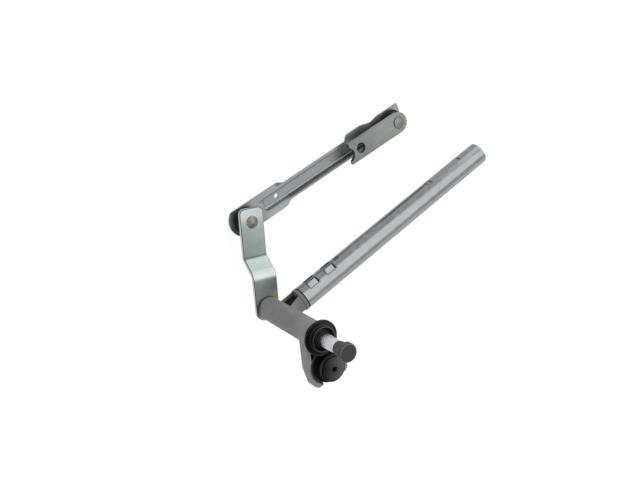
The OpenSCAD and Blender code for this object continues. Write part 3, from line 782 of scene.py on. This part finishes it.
def thread_ridge():
    """The thread: one small ridge drawn up the core along a screw line."""
    deselect()
    bpy.ops.mesh.primitive_circle_add(vertices=3, radius=MM, fill_type="NOTHING")
    piece = new_piece("spindle_thread")
    edit(piece)
    mesh = bmesh.from_edit_mesh(piece.data)
    corners = [(THREAD_ROOT_R, THREAD_FOOT), (THREAD_ROOT_R, THREAD_FOOT + RIDGE_WIDTH),
               (THREAD_CREST_R, THREAD_FOOT + RIDGE_WIDTH / 2)]
    for vertex, (r, z) in zip(mesh.verts, corners):
        vertex.co = Vector((r, 0, z)) * MM
    bmesh.update_edit_mesh(piece.data)
    done()
    finish_with(piece, "SCREW", axis="Z", angle=2 * math.pi, screw_offset=THREAD_PITCH * MM,
                iterations=THREAD_TURNS, steps=THREAD_STEPS, render_steps=THREAD_STEPS,
                use_smooth_shade=True)
    edit(piece)
    bpy.ops.mesh.select_all(action="DESELECT")
    bpy.ops.mesh.select_non_manifold(extend=False)
    bpy.ops.mesh.fill()
    done_outwards()
    return coat(smooth(piece), BRIGHT)


def taper_knurl():
    """The straight knurl that grips the wiper arm: a ring of teeth drawn along the taper."""
    levels = [KNURL_START, KNURL_START + KNURL_LEAD, KNURL_END - KNURL_LEAD, KNURL_END]
    tooth = math.pi / KNURL_TEETH

    def radius(z, depth):
        return TAPER_R + (TAPER_TIP_R - TAPER_R) * z / TAPER_LEN + depth

    def on_crest(co, level):
        count = round(math.atan2(co.y, co.x) / tooth)
        return count % 2 == 0 and abs(co.z - level * MM) < NEAR

    deselect()
    bpy.ops.mesh.primitive_circle_add(
        vertices=2 * KNURL_TEETH, radius=radius(KNURL_START, KNURL_ROOT) * MM,
        fill_type="NGON", location=(0, 0, KNURL_START * MM))
    piece = new_piece("taper_knurl")
    edit(piece)
    for below, above in zip(levels, levels[1:]):
        bpy.ops.mesh.extrude_region_move(
            TRANSFORM_OT_translate={"value": (0, 0, (above - below) * MM)})
        widen(radius(above, KNURL_ROOT) / radius(below, KNURL_ROOT), SPINDLE_AXIS, above)
    for level in levels[1:3]:
        pick(piece, "VERT", lambda vertex, level=level: on_crest(vertex.co, level))
        widen(radius(level, KNURL_CREST) / radius(level, KNURL_ROOT), SPINDLE_AXIS, level)
    done_outwards()
    return coat(piece, BRIGHT)


dress(spindle_with_core(), "spindle_arm", "bright_steel", "spindle")
dress(thread_ridge(), "spindle_arm", "bright_steel")
dress(taper_knurl(), "spindle_arm", "bright_steel")
stand_in("crank_lever", "bent_lever", "spindle_arm", "zinc_plate", LEVER_EDGE, LEVER_ZINC, SHEARED_AND_SHADED)
stand_in("lever_ball_stud", "domed_lever_stud", "spindle_arm", "stud_steel", STUD_EDGE,
         STUD, STUD_RIM_SHADE)
stand_in("thread_cap", "rubber_thread_cap", "cap", "grey_rubber", CAP_END_EDGE,
         CAP_RUBBER, CAP_EDGE_HIGHLIGHT)

# ---- Pieces of the link and the crank ----

HOLE_AT = 40.5
HOLE_ROUND = 3.0 * MM
STEEP = 0.5
INNER_CORNER = 2.2
OUTER_CORNER = 3.4
CORNER_STEPS = 5

LIP_START = 50.8
LIP_END = 128.9
LIP_OUT = 9.6
LIP_IN = 7.0
LIP_T = SHEET - 0.1

# The boot: radius and height above its foot, up the outside and down the inside
BOOT_FOOT = LINK_FACE + 2.6
BOOT_SIDES = 64
BOOT_PROFILE = (
    (11.2, 0), (11.2, 1.3), (10.2, 1.872), (10.9, 2.88), (10.7, 3.6), (9.2, 4.464), (9.6, 5.472),
    (8.6, 6.7), (8.3, 7.2),
    (7.4, 7.2), (7.4, 6.0), (8.2, 4.464), (9.4, 3.24), (9.0, 1.8), (9.9, 0),
)


def near_hole(edge):
    """Whether an edge belongs to the small hole in the groove."""
    hole = (Vector(LEVER_JOINT) + direction(LINK_TURN) * HOLE_AT) * MM
    return all((vertex.co.xy - hole).length < HOLE_ROUND for vertex in edge.verts)


def in_corner(edge, level):
    """Whether a sharp edge at a height leads to a steep wall of the groove."""
    return (len(edge.link_faces) == 2 and edge.calc_face_angle() > EDGE_ANGLE
            and all(abs(vertex.co.z - level * MM) < NEAR for vertex in edge.verts)
            and min(face.normal.z ** 2 for face in edge.link_faces) < STEEP
            and not near_hole(edge))


def rim_lip(side):
    """The narrow lip that runs on from the wide ends of the link along its groove."""
    middle = (Vector(LEVER_JOINT) + direction(LINK_TURN) * ((LIP_START + LIP_END) / 2)
              + direction(LINK_TURN + QUARTER) * (side * (LIP_OUT + LIP_IN) / 2))
    deselect()
    bpy.ops.mesh.primitive_cube_add(
        size=MM, location=(middle.x * MM, middle.y * MM, (LINK_FACE - SHEET / 2) * MM),
        rotation=(0, 0, LINK_TURN), scale=(LIP_END - LIP_START, LIP_OUT - LIP_IN, LIP_T))
    return ease(coat(new_piece("rim_lip"), LINK_ZINC), *LIP_EDGE)


def pressed_link():
    """The link with the round corners of a pressed groove, inside and below, and its lips."""
    piece = coat(cad_copy("link_rod", "pressed_link"), LINK_ZINC, SHEARED_AND_SHADED)
    edit(piece)
    for level, radius in (GROOVE_FLOOR, INNER_CORNER), (GROOVE_FLOOR - SHEET, OUTER_CORNER):
        pick(piece, "EDGE", lambda edge, level=level: in_corner(edge, level))
        bpy.ops.mesh.bevel(offset=radius * MM, segments=CORNER_STEPS, affect="EDGES")
    done()
    return joined(ease(piece, *LINK_EDGE), rim_lip(1), rim_lip(-1))


def boot_bellows(name, joint):
    """Rubber boot with two folds between the socket and the plate."""
    profile = [(r, BOOT_FOOT + height) for r, height in BOOT_PROFILE]
    piece = lathe(name, joint, profile, BOOT_SIDES)
    finish_with(piece, "SUBSURF", levels=1, render_levels=1)
    return coat(smooth(piece), BLACK_RUBBER)


dress(pressed_link(), "link", "link_steel", "link_rod")
dress(boot_bellows("lever_boot_bellows", LEVER_JOINT), "link", "black_rubber", "lever_joint_boot")
dress(boot_bellows("crank_boot_bellows", CRANK_JOINT), "link", "black_rubber", "crank_joint_boot")
stand_in("motor_crank", "flat_motor_crank", "crank", "zinc_plate", CRANK_EDGE, CRANK_ZINC, SHEARED_AND_SHADED)
stand_in("crank_ball_stud", "flat_crank_stud", "crank", "stud_steel", STUD_EDGE, STUD, STUD_RIM_SHADE)

# ---- CAD nodes that keep their shape ----

NODE_FINISHES = {
    "front_bush": BRONZE,
    "rear_bush": BRONZE,
    "spindle_seal": BLACK_RUBBER,
    "rear_washer": PLASTIC,
    "front_washer": SPRING,
    "spring_washer": SPRING,
    "retaining_clip": SPRING,
    "lever_ball_socket": PLASTIC,
    "crank_ball_socket": PLASTIC,
}
for node, finish in NODE_FINISHES.items():
    cad_nodes[node].material_slots[0].material = finish.material

# ---- Floor, light and camera, in metres ----

FLOOR_HALF = 4.0
FLOOR_GAP = 0.0005
WHITE = (1, 1, 1, 1)
WHITE_SHARE = 0.93
SHADOW_TONE = 0.12
FLOOR_TONE = 0.6
SKY_TONE = 0.5


def seen_directly(finish):
    """One for rays from the camera, mirrors and glass, which see the plain white ground."""
    path = [finish.node("ShaderNodeLightPath", {}, {}, name)
            for name in ("Is Camera Ray", "Is Glossy Ray", "Is Transmission Ray")]
    return path[0] + path[1] + path[2]


def white_floor():
    """A floor that looks white, keeps the shadow of the object and throws little light back."""
    finish = finish_named("white_floor")
    glow = finish.node("ShaderNodeEmission", {}, {"Color": WHITE, "Strength": WHITE_SHARE})
    shade = finish.node("ShaderNodeBsdfDiffuse", {}, {"Color": grey(SHADOW_TONE)})
    both = finish.node("ShaderNodeAddShader", {}, {0: glow, 1: shade})
    matt = finish.node("ShaderNodeBsdfDiffuse", {}, {"Color": grey(FLOOR_TONE)})
    shown = finish.node("ShaderNodeMixShader", {}, {0: seen_directly(finish), 1: matt, 2: both})
    finish.node("ShaderNodeOutputMaterial", {}, {"Surface": shown})
    return finish


def white_sky():
    """A sky that looks white and lights the object at half strength."""
    finish = Finish(bpy.data.worlds.new("studio"))
    strength = SKY_TONE + (1 - SKY_TONE) * seen_directly(finish)
    glow = finish.node("ShaderNodeBackground", {}, {"Color": WHITE, "Strength": strength})
    finish.node("ShaderNodeOutputWorld", {}, {"Surface": glow})
    bpy.context.scene.world = finish.material


def softbox(name, place, away, width, height, radiance, roll=0.0):
    """A rectangular lamp at a place, with its back away from the object and its width along X."""
    away = Vector(away).normalized()
    side = (Vector((1, 0, 0)) - away * away.x).normalized()
    lamp = bpy.data.lights.new(name, "AREA")
    lamp.shape = "RECTANGLE"
    lamp.size = width
    lamp.size_y = height
    lamp.energy = radiance * math.pi * width * height
    holder = bpy.data.objects.new(name, lamp)
    bpy.context.scene.collection.objects.link(holder)
    turned = Matrix((side, away.cross(side), away)).transposed().to_4x4()
    rolled = turned @ Matrix.Rotation(roll, 4, "Z")
    holder.matrix_world = Matrix.Translation(Vector(place)) @ rolled


deselect()
bpy.ops.mesh.primitive_plane_add(size=2 * FLOOR_HALF, location=(0, 0, cad_low.z - FLOOR_GAP))
floor = bpy.context.active_object
floor.name = "floor"
floor.data.materials.append(white_floor().material)
white_sky()
softbox("top_softbox", place=(0.5416, 0.5777, 0.9), away=(0, 0, 1),
        width=1.1, height=1.895, radiance=1.25, roll=math.radians(12))
softbox("side_softbox", place=(1.06, 0.71, 0.11), away=(0.81, 0.57, 0.16),
        width=0.62, height=0.7, radiance=2.2)
softbox("rear_fill", place=(0.33, -1.13, 0.06), away=(0.2, -0.97, 0.12),
        width=1.6, height=1.0, radiance=0.45)
softbox("left_fill", place=(-1.01, 0.39, 0.22), away=(-0.92, 0.3, 0.25),
        width=1.0, height=1.0, radiance=0.45)

VIEW_RIGHT = Vector((0.7366, -0.4224, 0.5282))
VIEW_UP = Vector((0.5911, 0.7816, -0.1992))
VIEW_BACK = Vector((-0.3287, 0.4589, 0.8254))
VIEW_FROM = Vector((-166.67, 362.53, 513.79)) * MM
LENS = 44.10
FILM = 36.0
NEAREST = 0.01

camera_data = bpy.data.cameras.new("photo_camera")
camera_data.sensor_fit = "HORIZONTAL"
camera_data.sensor_width = FILM
camera_data.lens = LENS
camera_data.clip_start = NEAREST
camera = bpy.data.objects.new("photo_camera", camera_data)
bpy.context.scene.collection.objects.link(camera)
view_turn = Matrix((VIEW_RIGHT, VIEW_UP, VIEW_BACK)).transposed().to_4x4()
camera.matrix_world = Matrix.Translation(VIEW_FROM) @ view_turn
bpy.context.scene.camera = camera
bpy.context.scene.view_settings.view_transform = "Standard"
